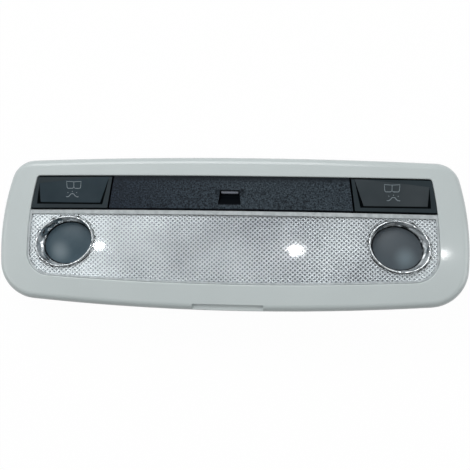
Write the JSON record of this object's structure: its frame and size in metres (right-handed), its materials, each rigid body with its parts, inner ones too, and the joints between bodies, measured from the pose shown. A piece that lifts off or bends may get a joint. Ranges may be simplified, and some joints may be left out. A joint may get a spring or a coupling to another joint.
{
  "type": "car dome light",
  "caption": "Roof light unit for a car: crowned bezel, prismatic lens, two recessed reading lamps, rocker keys, centre panel with a small light outlet and a rear housing.",
  "frame": {"origin": "middle of the plane in which the back of the bezel's rim lies against the headliner", "axes": "+X along the lamp, +Y towards the row of keys, +Z out of the visible face"},
  "size_m": [0.2386, 0.0777, 0.0349],
  "materials": {
    "bezel_plastic": "light grey moulded plastic, satin gloss",
    "clear_plastic": "clear prismatic plastic",
    "chrome_plating": "bright chrome plated plastic",
    "smoked_plastic": "smoked frosted plastic",
    "reflector_coating": "vacuum metallised plastic",
    "white_plastic": "white moulded plastic",
    "key_plastic": "dark slate soft-gloss plastic",
    "panel_plastic": "dark slate grained plastic",
    "black_plastic": "black moulded plastic",
    "lamp_glass": "clear bulb glass",
    "contact_brass": "tinned spring brass",
    "spring_steel": "bright zinc plated spring steel",
    "screw_steel": "zinc plated steel",
    "board_laminate": "green solder mask on laminate",
    "housing_plastic": "pale grey moulded plastic"
  },
  "bodies": {
    "root": {"bezel": "bezel_plastic", "lens": "clear_plastic", "switch_carrier": "black_plastic", "centre_panel": "panel_plastic", "light_guide": "clear_plastic", "ambient_diode": "white_plastic", "circuit_board": "board_laminate", "connector_socket": "black_plastic", "connector_pins": "contact_brass", "dome_reflector": "white_plastic", "festoon_bulb": "lamp_glass", "rear_housing": "housing_plastic", "housing_screws": "screw_steel", "reading_ring_left": "chrome_plating", "reading_lens_left": "smoked_plastic", "reading_reflector_left": "reflector_coating", "reading_bulb_left": "lamp_glass", "bulb_holder_left": "black_plastic", "switch_body_left": "black_plastic", "festoon_contact_left": "contact_brass", "retaining_clip_left": "spring_steel", "reading_ring_right": "chrome_plating", "reading_lens_right": "smoked_plastic", "reading_reflector_right": "reflector_coating", "reading_bulb_right": "lamp_glass", "bulb_holder_right": "black_plastic", "switch_body_right": "black_plastic", "festoon_contact_right": "contact_brass", "retaining_clip_right": "spring_steel"},
    "button_left": {"button_left": "key_plastic"},
    "plunger_left": {"switch_plunger_left": "white_plastic"},
    "button_right": {"button_right": "key_plastic"},
    "plunger_right": {"switch_plunger_right": "white_plastic"}
  },
  "joints": [
    {"name": "button_left_press", "type": "hinge", "parent": "root", "child": "button_left", "pos_m": [-0.0815, 0.0252, 0.0022], "axis": [1, 0, 0], "range_deg": [0, 5], "stiffness_Nm_per_rad": 0.25},
    {"name": "plunger_left_travel", "type": "slide", "parent": "root", "child": "plunger_left", "axis": [0, 0, -1], "range_m": [0, 0.00075]},
    {"name": "button_right_press", "type": "hinge", "parent": "root", "child": "button_right", "pos_m": [0.0815, 0.0252, 0.0022], "axis": [1, 0, 0], "range_deg": [0, 5], "stiffness_Nm_per_rad": 0.25},
    {"name": "plunger_right_travel", "type": "slide", "parent": "root", "child": "plunger_right", "axis": [0, 0, -1], "range_m": [0, 0.00075]}
  ],
  "couplings": [
    {"joint": "plunger_left_travel", "follows": "button_left_press", "m_per_rad": 0.0076},
    {"joint": "plunger_right_travel", "follows": "button_right_press", "m_per_rad": 0.0076}
  ]
}
